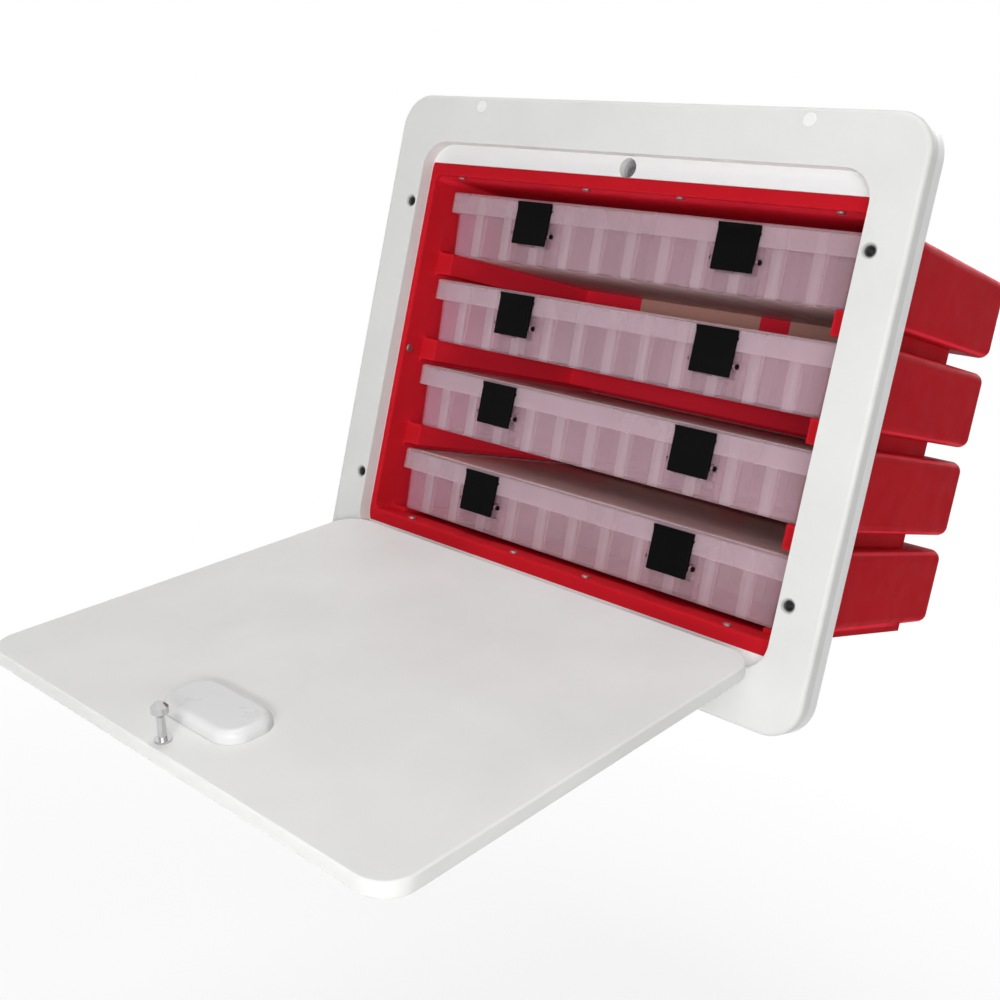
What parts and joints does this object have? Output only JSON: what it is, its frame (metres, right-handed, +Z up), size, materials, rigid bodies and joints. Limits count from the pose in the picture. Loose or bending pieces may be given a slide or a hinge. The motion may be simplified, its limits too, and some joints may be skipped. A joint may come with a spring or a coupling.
{
  "type": "flush mounted tray storage box",
  "caption": "Flush mounted storage box with a drop down framed door, a formed liner and slide out lidded trays with snap latches.",
  "frame": {"origin": "centre of the frame's back face, in the middle of the wall screw holes", "axes": "+Y into the wall, +Z up, +X to the right as seen from the front"},
  "size_m": [0.441, 0.5685, 0.4364],
  "materials": {
    "frame_white": "fine grained, lightly satin",
    "door_white": "fine grained, lightly satin",
    "cap_white": "smooth",
    "catch_white": "smooth",
    "cup_white": "smooth gloss",
    "liner_red": "formed sheet with a soft gloss",
    "tray_clear": "translucent, frosted",
    "tray_lid_clear": "translucent, frosted",
    "latch_black": "moulded black",
    "screw_steel": "stainless",
    "hinge_steel": "stainless",
    "spring_steel": "stainless spring strip",
    "stud_steel": "turned stainless"
  },
  "bodies": {
    "case": {"frame": "frame_white", "liner": "liner_red", "liner_screws": "screw_steel", "frame_caps": "cap_white", "frame_hinge_leaves": "hinge_steel", "frame_hinge_screws": "screw_steel", "hinge_pins": "hinge_steel", "catch_body": "catch_white", "catch_springs": "spring_steel", "catch_screws": "screw_steel"},
    "door": {"door_panel": "door_white", "door_hinge_leaves": "hinge_steel", "door_hinge_screws": "screw_steel", "pull_cup": "cup_white", "strike_stud": "stud_steel"},
    "tray_1": {"tray_base_1": "tray_clear", "tray_lid_1": "tray_lid_clear", "tray_dividers_1": "tray_clear"},
    "latch_1_left": {"tray_latch_1_left": "latch_black"},
    "latch_1_right": {"tray_latch_1_right": "latch_black"},
    "tray_2": {"tray_base_2": "tray_clear", "tray_lid_2": "tray_lid_clear", "tray_dividers_2": "tray_clear"},
    "latch_2_left": {"tray_latch_2_left": "latch_black"},
    "latch_2_right": {"tray_latch_2_right": "latch_black"},
    "tray_3": {"tray_base_3": "tray_clear", "tray_lid_3": "tray_lid_clear", "tray_dividers_3": "tray_clear"},
    "latch_3_left": {"tray_latch_3_left": "latch_black"},
    "latch_3_right": {"tray_latch_3_right": "latch_black"},
    "tray_4": {"tray_base_4": "tray_clear", "tray_lid_4": "tray_lid_clear", "tray_dividers_4": "tray_clear"},
    "latch_4_left": {"tray_latch_4_left": "latch_black"},
    "latch_4_right": {"tray_latch_4_right": "latch_black"}
  },
  "joints": [
    {"name": "door_hinge", "type": "hinge", "parent": "case", "child": "door", "pos_m": [0, -0.0217, -0.15525], "axis": [1, 0, 0], "range_deg": [-107.3, 72.7]},
    {"name": "tray_1_slide", "type": "slide", "parent": "case", "child": "tray_1", "axis": [0, -1, 0], "range_m": [0, 0.2]},
    {"name": "latch_1_left_pivot", "type": "hinge", "parent": "tray_1", "child": "latch_1_left", "pos_m": [-0.0896, 0.0092, 0.09735], "axis": [1, 0, 0], "range_deg": [0, 95]},
    {"name": "latch_1_right_pivot", "type": "hinge", "parent": "tray_1", "child": "latch_1_right", "pos_m": [0.0896, 0.0092, 0.09735], "axis": [1, 0, 0], "range_deg": [0, 95]},
    {"name": "tray_2_slide", "type": "slide", "parent": "case", "child": "tray_2", "axis": [0, -1, 0], "range_m": [0, 0.2]},
    {"name": "latch_2_left_pivot", "type": "hinge", "parent": "tray_2", "child": "latch_2_left", "pos_m": [-0.0896, 0.0092, 0.02835], "axis": [1, 0, 0], "range_deg": [0, 95]},
    {"name": "latch_2_right_pivot", "type": "hinge", "parent": "tray_2", "child": "latch_2_right", "pos_m": [0.0896, 0.0092, 0.02835], "axis": [1, 0, 0], "range_deg": [0, 95]},
    {"name": "tray_3_slide", "type": "slide", "parent": "case", "child": "tray_3", "axis": [0, -1, 0], "range_m": [0, 0.2]},
    {"name": "latch_3_left_pivot", "type": "hinge", "parent": "tray_3", "child": "latch_3_left", "pos_m": [-0.0896, 0.0092, -0.04065], "axis": [1, 0, 0], "range_deg": [0, 95]},
    {"name": "latch_3_right_pivot", "type": "hinge", "parent": "tray_3", "child": "latch_3_right", "pos_m": [0.0896, 0.0092, -0.04065], "axis": [1, 0, 0], "range_deg": [0, 95]},
    {"name": "tray_4_slide", "type": "slide", "parent": "case", "child": "tray_4", "axis": [0, -1, 0], "range_m": [0, 0.2]},
    {"name": "latch_4_left_pivot", "type": "hinge", "parent": "tray_4", "child": "latch_4_left", "pos_m": [-0.0896, 0.0092, -0.10965], "axis": [1, 0, 0], "range_deg": [0, 95]},
    {"name": "latch_4_right_pivot", "type": "hinge", "parent": "tray_4", "child": "latch_4_right", "pos_m": [0.0896, 0.0092, -0.10965], "axis": [1, 0, 0], "range_deg": [0, 95]}
  ]
}
